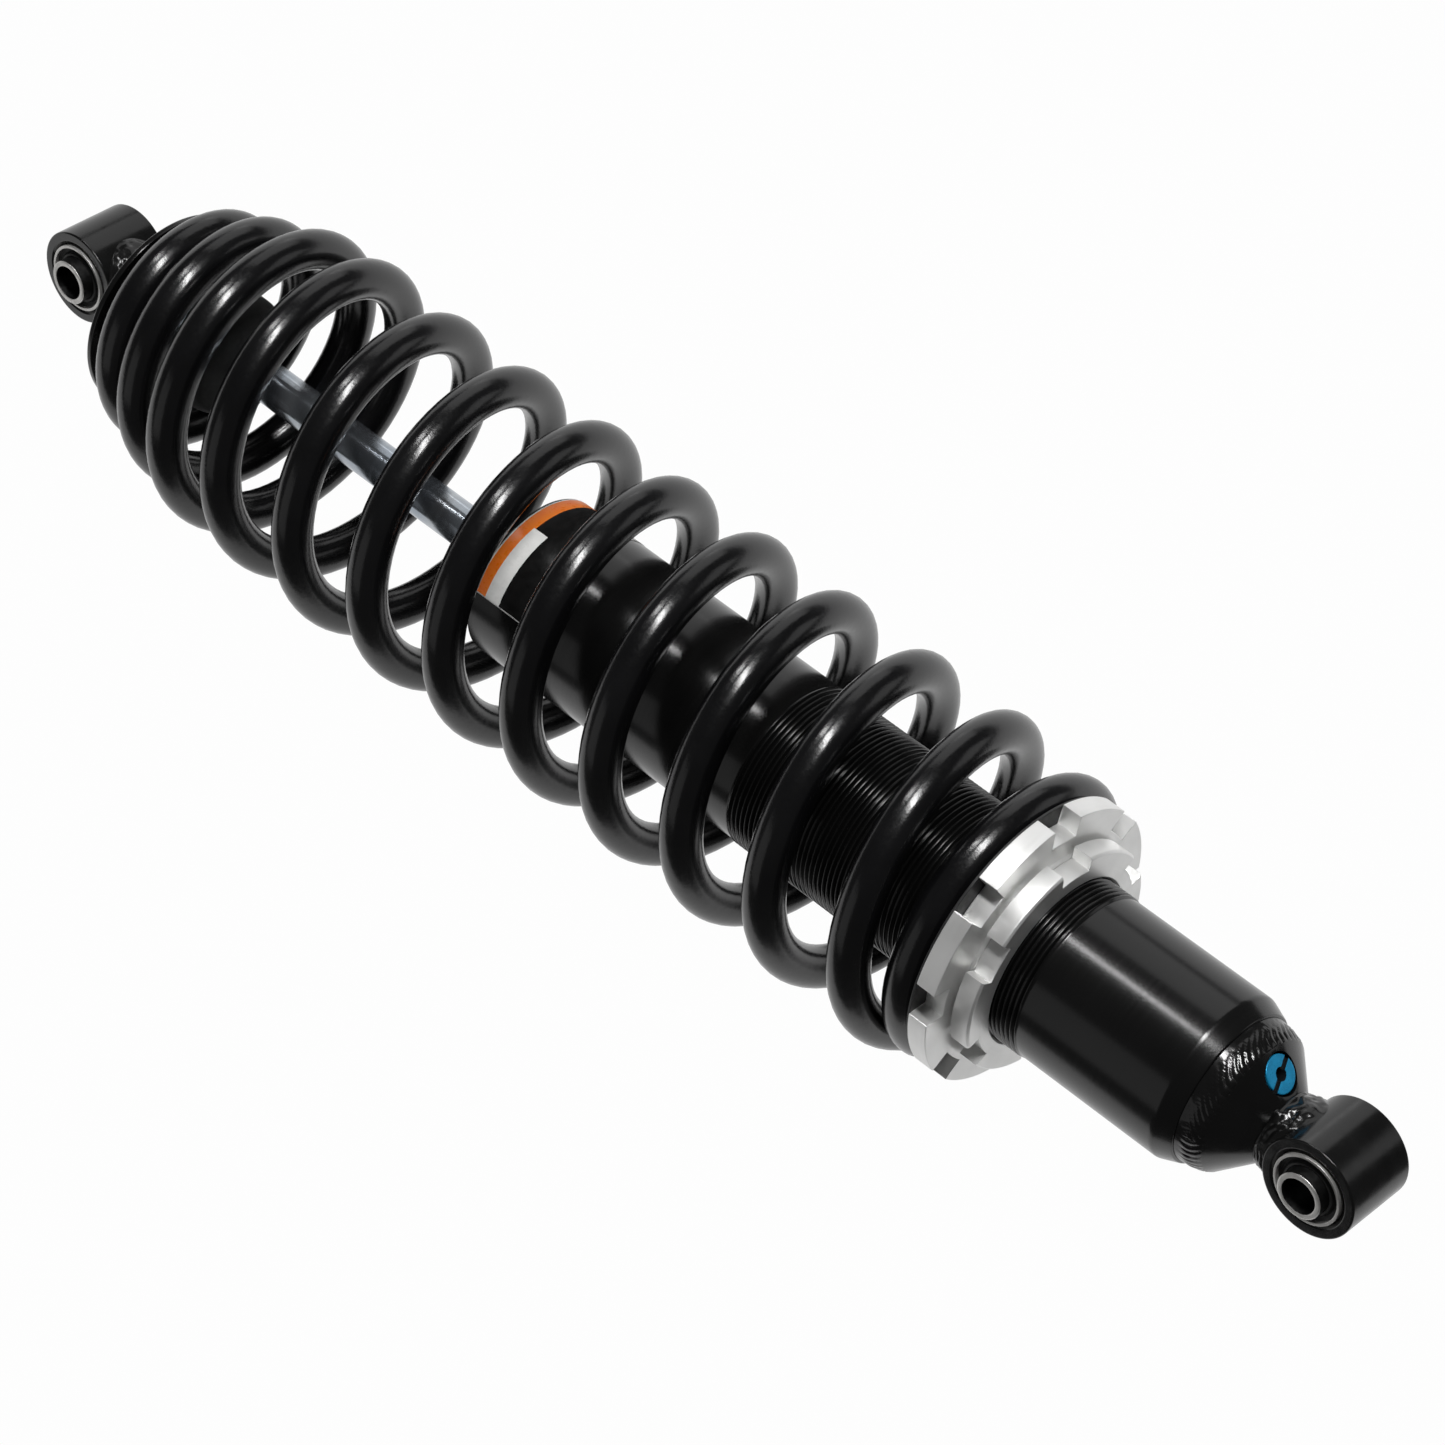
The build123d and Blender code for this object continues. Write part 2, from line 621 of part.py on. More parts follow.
# ---- write the nodes ----
def main():
    os.makedirs("parts", exist_ok=True)

    export(body_tube(), "body_tube")
    export(body_end_cap(), "body_end_cap")
    export(cap_weld(), "cap_weld")
    export(eye(BODY_EYE_WIDTH, 0), "body_eye")
    collar = weld_collar(0, -1, -18.5, NECK_RADIUS, WELD_NECK_RADIUS, WELD_FLARE_RADIUS, BODY_EYE_WIDTH)
    export(collar - body_end_cap(), "body_eye_weld")
    export(bush_outer_sleeve(BODY_EYE_WIDTH, 0), "body_bush_outer_sleeve")
    export(bush_rubber(BODY_EYE_WIDTH, 0), "body_bush_rubber")
    export(bush_inner_sleeve(0), "body_bush_inner_sleeve")
    export(gas_valve_screw(), "gas_valve_screw")
    export(gas_valve_seal(), "gas_valve_seal")
    export(label(), "caution_label")

    export(seal_head(), "seal_head")
    export(o_ring(HEAD_RADIUS - 1.0, -273.0, 0.95), "seal_head_o_ring")
    export(rod_wiper(), "rod_wiper")
    export(rod_seal(), "rod_seal")
    export(ring(ROD_RADIUS + RUNNING_GAP, 8.2, -274.9, HEAD_TOP - 1.0), "rod_guide_bush")
    export(ring(20.4, BORE_RADIUS + 0.9, HEAD_BOTTOM - 1.55, HEAD_BOTTOM - 0.05), "seal_head_circlip")
    export(dust_cap(), "dust_cap")

    export(rod(), "rod")
    export(rod_end_boss(), "rod_end_boss")
    export(eye(ROD_EYE_WIDTH, ROD_EYE_HEIGHT), "rod_eye")
    collar = weld_collar(ROD_EYE_HEIGHT, 1, -451.5, BOSS_RADIUS, 11.2, 12.8, ROD_EYE_WIDTH)
    export(collar, "rod_eye_weld")
    export(bush_outer_sleeve(ROD_EYE_WIDTH, ROD_EYE_HEIGHT), "rod_bush_outer_sleeve")
    export(bush_rubber(ROD_EYE_WIDTH, ROD_EYE_HEIGHT), "rod_bush_rubber")
    export(bush_inner_sleeve(ROD_EYE_HEIGHT), "rod_bush_inner_sleeve")

    export(spring_retainer(), "spring_retainer")
    export(bump_stop(), "bump_stop")

    export(ring(ROD_RADIUS, 9.5, HEAD_TOP + 0.5, -251.0), "top_out_spacer")
    fit = SPIGOT_RADIUS + SPIGOT_FIT
    rebound_bottom = PISTON_BOTTOM - 7 * SHIM_THICKNESS
    export(ring(fit, 10.5, rebound_bottom - 1.5, rebound_bottom), "rebound_stop_washer")
    export(shim_stack(rebound_bottom, 17.5, 1.0, 7, True), "rebound_shims")
    export(piston(), "piston")
    export(
        ring(PISTON_RADIUS - 1.3, BORE_RADIUS - 0.03, PISTON_BOTTOM + 3.4, PISTON_TOP - 3.4),
        "piston_band",
    )
    export(shim_stack(PISTON_TOP, 17.5, 1.0, 7, False), "compression_shims")
    shims_top = PISTON_TOP + 7 * SHIM_THICKNESS
    export(ring(fit, 10.5, shims_top, shims_top + 2.0), "compression_stop_washer")
    export(piston_nut(), "piston_nut")

    export(floating_piston(), "floating_piston")
    export(o_ring(BORE_RADIUS - 1.45, FLOATING_BOTTOM + 4.5, 1.4), "floating_piston_o_ring")
    band = ring(BORE_RADIUS - 1.26, BORE_RADIUS - 0.03, FLOATING_BOTTOM + 8.5, FLOATING_TOP - 2.5)
    export(band, "floating_piston_band")

    export(spring(), "spring")
    washer = ring(
        PILOT_RADIUS + 0.3, RING_RADIUS - 0.5,
        RING_BACK - FACE_GAP - SLIP_WASHER_THICKNESS, RING_BACK - FACE_GAP,
    )
    export(washer, "spring_slip_washer")
    export(preload_ring(), "preload_ring")
    export(lock_ring(), "lock_ring")


main()
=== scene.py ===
"""Coil-over rear shock: the visible meshes, materials, light and camera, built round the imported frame."""

import json
import math

import bmesh
import bpy
from mathutils import Matrix, Vector, noise

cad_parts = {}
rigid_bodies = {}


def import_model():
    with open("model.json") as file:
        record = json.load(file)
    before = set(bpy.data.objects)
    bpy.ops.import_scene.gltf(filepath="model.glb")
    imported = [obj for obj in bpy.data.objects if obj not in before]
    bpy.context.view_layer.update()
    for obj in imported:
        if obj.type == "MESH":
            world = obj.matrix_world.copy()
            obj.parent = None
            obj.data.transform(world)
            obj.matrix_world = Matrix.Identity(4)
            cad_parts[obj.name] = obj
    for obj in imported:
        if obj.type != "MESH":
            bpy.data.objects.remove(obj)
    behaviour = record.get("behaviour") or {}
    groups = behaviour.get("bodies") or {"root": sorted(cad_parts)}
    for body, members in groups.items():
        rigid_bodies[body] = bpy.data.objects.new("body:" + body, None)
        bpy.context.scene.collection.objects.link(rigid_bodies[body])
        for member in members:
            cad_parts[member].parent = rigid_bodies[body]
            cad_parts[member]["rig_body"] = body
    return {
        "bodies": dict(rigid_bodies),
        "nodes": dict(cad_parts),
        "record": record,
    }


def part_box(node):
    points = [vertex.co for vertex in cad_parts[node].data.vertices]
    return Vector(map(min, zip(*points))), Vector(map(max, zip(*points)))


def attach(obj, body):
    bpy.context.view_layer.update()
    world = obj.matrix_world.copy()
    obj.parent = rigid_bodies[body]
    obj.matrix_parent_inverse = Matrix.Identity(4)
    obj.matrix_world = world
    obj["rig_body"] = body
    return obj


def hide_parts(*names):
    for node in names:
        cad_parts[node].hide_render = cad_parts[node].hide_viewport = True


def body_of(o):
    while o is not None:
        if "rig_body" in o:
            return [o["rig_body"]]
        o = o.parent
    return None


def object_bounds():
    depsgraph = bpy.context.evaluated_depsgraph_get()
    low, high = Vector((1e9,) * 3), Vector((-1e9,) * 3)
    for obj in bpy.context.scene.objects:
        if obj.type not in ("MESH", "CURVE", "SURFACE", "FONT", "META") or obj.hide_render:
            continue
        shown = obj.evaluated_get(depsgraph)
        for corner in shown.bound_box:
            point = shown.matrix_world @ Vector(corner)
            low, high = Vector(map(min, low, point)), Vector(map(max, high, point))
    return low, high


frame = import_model()
cad_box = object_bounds()

MM = 0.001
BODIES = frame["bodies"]
NODES = frame["nodes"]


def span(node):
    """Lowest and highest corner of a CAD node, in millimetres."""
    low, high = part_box(node)
    return low / MM, high / MM


# ---- sizes, read from the frame or in millimetres ----
TUBE_BOTTOM = span("body_tube")[0].z
TUBE_TOP = span("body_tube")[1].z
TUBE_RADIUS = 25.1
TUBE_BORE = 22.0
BEVEL_HEIGHT = 5.5
LIP_RADIUS = 22.9
THREAD_PITCH = 1.5875
THREAD_BOTTOM = -190.0
THREAD_TOP = -84.8
THREAD_CREST = span("body_tube")[1].x
THREAD_ROOT = 24.5

EYE_RADIUS = span("body_eye")[1].z
EYE_BORE = 10.45
BUSH_BORE = 9.55
SLEEVE_RADIUS = span("body_bush_inner_sleeve")[1].z
BOLT_RADIUS = 5.2
ROD_EYE_HEIGHT = (span("rod_eye")[0].z + span("rod_eye")[1].z) / 2

WIRE_RADIUS = 6.0
WIRE_END_ROUNDING = 0.6
COAT_ALLOWANCE = 0.03
COIL_RADIUS = 42.0
END_COIL_RADIUS = 31.2
RING_COIL_RADIUS = 38.0
END_COIL_OFFSET = Vector((-0.51, -0.86, 0))
RING_COIL_OFFSET = Vector((-2.0, 1.0, 0))
SPRING_TURNS = 12.5
SPRING_BOTTOM = span("spring")[0].z + WIRE_RADIUS
SPRING_TOP = span("spring")[1].z - WIRE_RADIUS
SPRING_START = math.radians(-496.6)
SEAT_PITCH = 12.3
CLOSE_PITCH = 17.9
ACTIVE_PITCH = 30.5
SOLID_PITCH = 12.1
# spans of turns, counted from the rod end, over which the spring's shape changes
ROD_END_GROWS = (0.0, 2.6)
ROD_END_SHIFTS = (0.0, 0.6)
ROD_END_CENTRES = (2.9, 4.2)
RING_END_SHRINKS = (11.4, 12.15)
SEAT_LIFTS = (0.47, 1.3)
COILS_OPEN = (2.55, 3.35)
COILS_FLATTEN = (11.65, 12.1)

CONE_APEX = -7.0
CONE_SLOPE = 1.015
CONE_BASE = -27.0
NECK_RADIUS = 9.5
CAP_BORE = 19.6
CAP_SPIGOT_RADIUS = 21.95
CAP_FLOOR = -48.0
CAP_WELD_RADIUS = 22.3
VALVE_ANGLE = math.radians(-95.3)
VALVE_HEIGHT = -22.1
VALVE_SCREW_RADIUS = 5.3
VALVE_SCREW_TOP = -0.6
VALVE_SCREW_FOOT = -7.2
VALVE_POCKET_RADIUS = 5.85
VALVE_HOLE_RADIUS = 1.9
VALVE_SLOT_WIDTH = 1.5
VALVE_SLOT_ANGLE = math.radians(36.0)

PRELOAD_RIM = 42.5
PRELOAD_PILOT = 29.4
PRELOAD_COLLAR = 30.2
PRELOAD_NOTCH_FLOOR = 36.2
LOCK_RIM = 34.3
LOCK_NOTCH_FLOOR = 30.2


# ---- materials ----
def tree_of(name):
    """A new node material: its tree and its Principled shader."""
    material = bpy.data.materials.new(name)
    material.use_nodes = True
    tree = material.node_tree
    return material, tree, tree.nodes["Principled BSDF"]


def place(tree):
    """Object coordinates, in metres in the shock's own frame."""
    return tree.nodes.new("ShaderNodeTexCoord").outputs["Object"]


def turned_place(tree):
    """Coordinates that don't change round the shock axis, for tool marks left by a lathe."""
    split = tree.nodes.new("ShaderNodeSeparateXYZ")
    length = tree.nodes.new("ShaderNodeVectorMath")
    flat = tree.nodes.new("ShaderNodeCombineXYZ")
    joined = tree.nodes.new("ShaderNodeCombineXYZ")
    length.operation = "LENGTH"
    tree.links.new(place(tree), split.inputs[0])
    tree.links.new(split.outputs["X"], flat.inputs["X"])
    tree.links.new(split.outputs["Y"], flat.inputs["Y"])
    tree.links.new(flat.outputs[0], length.inputs[0])
    tree.links.new(length.outputs["Value"], joined.inputs["X"])
    tree.links.new(split.outputs["Z"], joined.inputs["Z"])
    return joined.outputs[0]


def noise_value(tree, where, scale, detail=2.0):
    """Noise from 0 to 1; scale is in cycles per metre."""
    texture = tree.nodes.new("ShaderNodeTexNoise")
    texture.inputs["Scale"].default_value = scale
    texture.inputs["Detail"].default_value = detail
    tree.links.new(where, texture.inputs["Vector"])
    return texture.outputs["Fac"]


def spread(tree, value, low, high, from_low=0.3, from_high=0.7):
    """Map a noise value onto the range low to high."""
    node = tree.nodes.new("ShaderNodeMapRange")
    node.inputs["From Min"].default_value = from_low
    node.inputs["From Max"].default_value = from_high
    node.inputs["To Min"].default_value = low
    node.inputs["To Max"].default_value = high
    tree.links.new(value, node.inputs["Value"])
    return node.outputs["Result"]


def tinted(tree, shader, value, first, second):
    """Colour variation between two colours."""
    ramp = tree.nodes.new("ShaderNodeValToRGB")
    ramp.color_ramp.elements[0].position = 0.35
    ramp.color_ramp.elements[0].color = (*first, 1)
    ramp.color_ramp.elements[1].position = 0.65
    ramp.color_ramp.elements[1].color = (*second, 1)
    tree.links.new(value, ramp.inputs["Fac"])
    tree.links.new(ramp.outputs["Color"], shader.inputs["Base Color"])


def bumped(tree, shader, layers):
    """Stack bump layers of (value, height in millimetres)."""
    normal = None
    for value, height in layers:
        node = tree.nodes.new("ShaderNodeBump")
        node.inputs["Strength"].default_value = 1.0
        node.inputs["Distance"].default_value = height * MM
        tree.links.new(value, node.inputs["Height"])
        if normal:
            tree.links.new(normal, node.inputs["Normal"])
        normal = node.outputs["Normal"]
    tree.links.new(normal, shader.inputs["Normal"])


def powder_coat():
    """Semi-gloss black powder coat with a fine orange peel that breaks up highlights."""
    material, tree, shader = tree_of("spring_powder_coat")
    where = place(tree)
    tinted(tree, shader, noise_value(tree, where, 60), (0.003, 0.003, 0.0034), (0.005, 0.005, 0.0055))
    tree.links.new(spread(tree, noise_value(tree, where, 900), 0.17, 0.23), shader.inputs["Roughness"])
    shader.inputs["Specular IOR Level"].default_value = 0.55
    bumped(tree, shader, [
        (noise_value(tree, where, 550, 2.0), 0.014),
        (noise_value(tree, where, 1900, 1.0), 0.020),
    ])
    return material


def black_paint(name, roughness, peel):
    """Smooth black paint on tube and castings."""
    material, tree, shader = tree_of(name)
    where = place(tree)
    tinted(tree, shader, noise_value(tree, where, 45), (0.0035, 0.0035, 0.0035), (0.006, 0.006, 0.006))
    rough = spread(tree, noise_value(tree, where, 260), roughness - 0.04, roughness + 0.04)
    tree.links.new(rough, shader.inputs["Roughness"])
    bumped(tree, shader, [
        (noise_value(tree, where, 500, 2.0), peel),
        (noise_value(tree, where, 2200, 1.0), peel / 5),
    ])
    return material


def tube_black():
    """Satin hard-anodised black with faint lathe marks."""
    material, tree, shader = tree_of("satin_black_tube")
    where = place(tree)
    marks = turned_place(tree)
    tinted(tree, shader, noise_value(tree, where, 45), (0.003, 0.003, 0.003), (0.005, 0.005, 0.005))
    tree.links.new(spread(tree, noise_value(tree, marks, 1200), 0.18, 0.23), shader.inputs["Roughness"])
    bumped(tree, shader, [
        (noise_value(tree, marks, 2600, 2.0), 0.0012),
        (noise_value(tree, where, 1900, 1.0), 0.010),
    ])
    return material


def machined_aluminium():
    """Bright turned aluminium with concentric tool marks."""
    material, tree, shader = tree_of("machined_aluminium")
    where = place(tree)
    marks = turned_place(tree)
    shader.inputs["Metallic"].default_value = 0.72
    tinted(tree, shader, noise_value(tree, where, 80), (0.80, 0.80, 0.79), (0.87, 0.87, 0.86))
    tree.links.new(spread(tree, noise_value(tree, marks, 1500), 0.36, 0.44), shader.inputs["Roughness"])
    bumped(tree, shader, [
        (noise_value(tree, marks, 3500, 2.0), 0.0007),
    ])
    return material


def hard_chrome():
    """Polished chrome on the rod, with very faint grinding lines."""
    material, tree, shader = tree_of("hard_chrome")
    marks = turned_place(tree)
    shader.inputs["Metallic"].default_value = 0.92
    tinted(tree, shader, noise_value(tree, marks, 90), (0.36, 0.40, 0.45), (0.50, 0.53, 0.56))
    tree.links.new(spread(tree, noise_value(tree, marks, 600), 0.13, 0.19), shader.inputs["Roughness"])
    bumped(tree, shader, [(noise_value(tree, marks, 3000, 2.0), 0.0012)])
    return material


def steel(name, base, roughness, metallic=1.0):
    """Plated or ground metal with a fine grain."""
    material, tree, shader = tree_of(name)
    where = place(tree)
    shader.inputs["Metallic"].default_value = metallic
    darker = tuple(0.8 * c for c in base)
    tinted(tree, shader, noise_value(tree, where, 220), darker, base)
    rough = spread(tree, noise_value(tree, where, 900), roughness - 0.06, roughness + 0.08)
    tree.links.new(rough, shader.inputs["Roughness"])
    bumped(tree, shader, [(noise_value(tree, where, 2600, 2.0), 0.0003)])
    return material


def dull(name, first, second, roughness, grain, height):
    """Rubber, foam, plain plastics, and the painted shade in the gas screw's slot and bore."""
    material, tree, shader = tree_of(name)
    where = place(tree)
    tinted(tree, shader, noise_value(tree, where, 120), first, second)
    rough = spread(tree, noise_value(tree, where, 700), roughness - 0.06, roughness + 0.06)
    tree.links.new(rough, shader.inputs["Roughness"])
    shader.inputs["Specular IOR Level"].default_value = 0.4
    bumped(tree, shader, [(noise_value(tree, where, grain, 3.0), height)])
    return material


def blue_anodised():
    """Bright cyan-blue anodised aluminium."""
    material, tree, shader = tree_of("blue_anodised")
    where = place(tree)
    shader.inputs["Metallic"].default_value = 0.5
    tinted(tree, shader, noise_value(tree, where, 350), (0.008, 0.27, 0.52), (0.012, 0.33, 0.62))
    tree.links.new(spread(tree, noise_value(tree, where, 1500), 0.26, 0.38), shader.inputs["Roughness"])
    bumped(tree, shader, [(noise_value(tree, where, 3000, 2.0), 0.004)])
    return material


def film(name, first, second, roughness=0.3):
    """Printed vinyl film."""
    material, tree, shader = tree_of(name)
    where = place(tree)
    tinted(tree, shader, noise_value(tree, where, 260), first, second)
    rough = spread(tree, noise_value(tree, where, 900), roughness - 0.05, roughness + 0.05)
    tree.links.new(rough, shader.inputs["Roughness"])
    bumped(tree, shader, [(noise_value(tree, where, 500, 2.0), 0.004)])
    return material


POWDER = powder_coat()
TUBE_BLACK = tube_black()
PAINT = black_paint("satin_black_paint", 0.20, 0.008)
WELD_BLACK = black_paint("weld_black_paint", 0.16, 0.02)
ALUMINIUM = machined_aluminium()
CHROME = hard_chrome()
BUSH_STEEL = steel("bush_steel", (0.66, 0.65, 0.63), 0.38, 0.75)
BORE_STEEL = steel("bush_bore_dark", (0.06, 0.06, 0.06), 0.40)
SPRING_STEEL = steel("spring_steel", (0.42, 0.42, 0.44), 0.28)
RUBBER = dull("rubber", (0.010, 0.010, 0.010), (0.018, 0.018, 0.018), 0.62, 1400, 0.02)
FOAM = dull("bumper_foam", (0.014, 0.014, 0.014), (0.024, 0.024, 0.024), 0.78, 2200, 0.06)
NYLON = dull("seal_nylon", (0.018, 0.018, 0.018), (0.03, 0.03, 0.03), 0.5, 1200, 0.01)
PTFE = dull("ptfe", (0.20, 0.11, 0.06), (0.28, 0.16, 0.09), 0.5, 1200, 0.01)
BRONZE = steel("bush_bronze", (0.55, 0.36, 0.16), 0.38)
BLUE = blue_anodised()
# painted shade: a dark blue-black for the walls and floors of the gas screw's slot and bore
SLOT_PAINTED_SHADE = dull("screw_slot_painted_shade", (0.004, 0.006, 0.008), (0.008, 0.010, 0.012), 0.5, 1400, 0.01)
ORANGE = film("label_orange", (1.0, 0.20, 0.012), (1.0, 0.24, 0.018))
WHITE = film("label_white", (0.84, 0.84, 0.82), (0.92, 0.92, 0.90))
LABEL_BLACK = film("label_black", (0.006, 0.006, 0.006), (0.010, 0.010, 0.010), 0.22)

SLOT_MATERIALS = {
    "satin_black_tube": TUBE_BLACK,
    "satin_black_paint": PAINT,
    "spring_powder_coat": POWDER,
    "machined_aluminium": ALUMINIUM,
    "hard_chrome": CHROME,
    "bush_steel": BUSH_STEEL,
    "spring_steel": SPRING_STEEL,
    "rubber": RUBBER,
    "bumper_foam": FOAM,
    "blue_anodised": BLUE,
    "label_film": LABEL_BLACK,
    "seal_nylon": NYLON,
    "ptfe": PTFE,
    "bush_bronze": BRONZE,
}
SLOT_OF = {part["node"]: part["material_slot"] for part in frame["record"]["subparts"]}


# ---- mesh helpers ----
def add_piece(name, work, node, materials, crease=32.0):
    """Turn a bmesh into a piece that stands for a CAD node and rides on its body."""
    bmesh.ops.remove_doubles(work, verts=work.verts, dist=1e-6)
    bmesh.ops.recalc_face_normals(work, faces=work.faces)
    mesh = bpy.data.meshes.new(name)
    work.to_mesh(mesh)
    work.free()
    for material in materials:
        mesh.materials.append(material)
    mesh.polygons.foreach_set("use_smooth", [True] * len(mesh.polygons))
    mesh.set_sharp_from_angle(angle=math.radians(crease))
    piece = bpy.data.objects.new(name, mesh)
    bpy.context.scene.collection.objects.link(piece)
    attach(piece, body_of(NODES[node])[0])
    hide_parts(node)
    return piece


def even_faces(piece):
    """Weight the normals by face area, so that plain faces stay clean beside small roundings."""
    weighted = piece.modifiers.new("even_faces", "WEIGHTED_NORMAL")
    weighted.keep_sharp = True


def apply_modifiers(piece):
    """Replace a piece's mesh with what its modifiers make of it."""
    bpy.context.view_layer.update()
    graph = bpy.context.evaluated_depsgraph_get()
    made = bpy.data.meshes.new_from_object(piece.evaluated_get(graph), depsgraph=graph)
    piece.modifiers.clear()
    piece.data = made


def bevelled(piece, width, angle, crease=35.0):
    """Round a piece's edges that are sharper than an angle in degrees, by a width in millimetres."""
    bevel = piece.modifiers.new("bevel", "BEVEL")
    bevel.width = width * MM
    bevel.segments = 2
    bevel.limit_method = "ANGLE"
    bevel.angle_limit = math.radians(angle)
    apply_modifiers(piece)
    piece.data.polygons.foreach_set("use_smooth", [True] * len(piece.data.polygons))
    piece.data.set_sharp_from_angle(angle=math.radians(crease))
    even_faces(piece)


def cut(piece, cutters):
    """Subtract closed bmeshes from a piece."""
    tools = []
    for work in cutters:
        bmesh.ops.recalc_face_normals(work, faces=work.faces)
        mesh = bpy.data.meshes.new("cutter")
        work.to_mesh(mesh)
        work.free()
        tool = bpy.data.objects.new("cutter", mesh)
        bpy.context.scene.collection.objects.link(tool)
        boolean = piece.modifiers.new("cut", "BOOLEAN")
        boolean.operation = "DIFFERENCE"
        boolean.solver = "EXACT"
        boolean.object = tool
        tools.append(tool)
    apply_modifiers(piece)
    for tool in tools:
        bpy.data.objects.remove(tool)


def rounded(corners, size):
    """Closed (radius, height) outline with its corners rounded; a third value sets one corner's size."""
    steps = 4
    outline = []
    for i, corner in enumerate(corners):
        point = Vector(corner[:2])
        before = Vector(corners[i - 1][:2]) - point
        after = Vector(corners[(i + 1) % len(corners)][:2]) - point
        own = corner[2] if len(corner) > 2 else size
        reach = min(own, 0.45 * before.length, 0.45 * after.length)
        if reach < 1e-4 or point.x < 1e-6:
            outline.append(point)
            continue
        start = point + before.normalized() * reach
        end = point + after.normalized() * reach
        for k in range(steps + 1):
            s = k / steps
            outline.append(start * (1 - s) ** 2 + point * (2 * s * (1 - s)) + end * s ** 2)
    return outline


def around_axis(radius, angle, height):
    """Point at a radius, angle and height on the shock axis, all three in the units they come in."""
    return Vector((radius * math.cos(angle), radius * math.sin(angle), height))


def stacked_rows(rows):
    """A closed skin through rows of points, each row running once round; the last joins the first."""
    work = bmesh.new()
    loops = [[work.verts.new(point) for point in row] for row in rows]
    for near, far in zip(loops, loops[1:] + loops[:1]):
        for k in range(len(near)):
            following = (k + 1) % len(near)
            work.faces.new((near[k], near[following], far[following], far[k]))
    return work


def lathe(outline, axis="Z", centre=(0, 0, 0), segments=192):
    """Solid of revolution from a closed (radius, along) outline in millimetres."""
    rows = []
    for radius, along in outline:
        row = []
        for k in range(segments):
            angle = 2 * math.pi * k / segments
            a, b = radius * math.cos(angle), radius * math.sin(angle)
            local = (a, b, along) if axis == "Z" else (along, a, b)
            row.append((Vector(local) + Vector(centre)) * MM)
        rows.append(row)
    return stacked_rows(rows)


def turned_piece(node, corners, size, axis="Z", centre=(0, 0, 0), segments=192):
    """Turned piece with rounded corners in place of a CAD node."""
    work = lathe(rounded(corners, size), axis, centre, segments)
    piece = add_piece(f"{node}_turned", work, node, [SLOT_MATERIALS[SLOT_OF[node]]])
    even_faces(piece)
    return piece


def box_mesh(size, matrix):
    """Closed box of a size in millimetres, placed by a matrix in metres."""
    work = bmesh.new()
    bmesh.ops.create_cube(work, size=1.0)
    scale = Matrix.Diagonal((*[s * MM for s in size], 1.0))
    bmesh.ops.transform(work, matrix=matrix @ scale, verts=work.verts)
    return work


def cylinder_mesh(radius, depth, matrix, segments=96):
    """Closed cylinder in millimetres, centred on the matrix's origin."""
    work = bmesh.new()
    bmesh.ops.create_cone(
        work, cap_ends=True, segments=segments, radius1=radius * MM, radius2=radius * MM,
        depth=depth * MM, matrix=matrix,
    )
    return work


def smooth(value, start, end):
    """Rise from 0 to 1 between start and end, with level ends."""
    share = min(max((value - start) / (end - start), 0.0), 1.0)
    return share * share * (3 - 2 * share)


def lumps(point, size, seed=0.0):
    """Smooth noise from -1 to 1 at a point in millimetres, for lumps of a size in millimetres."""
    return noise.noise(Vector(point) / size + Vector((seed, 2 * seed, 3 * seed)))


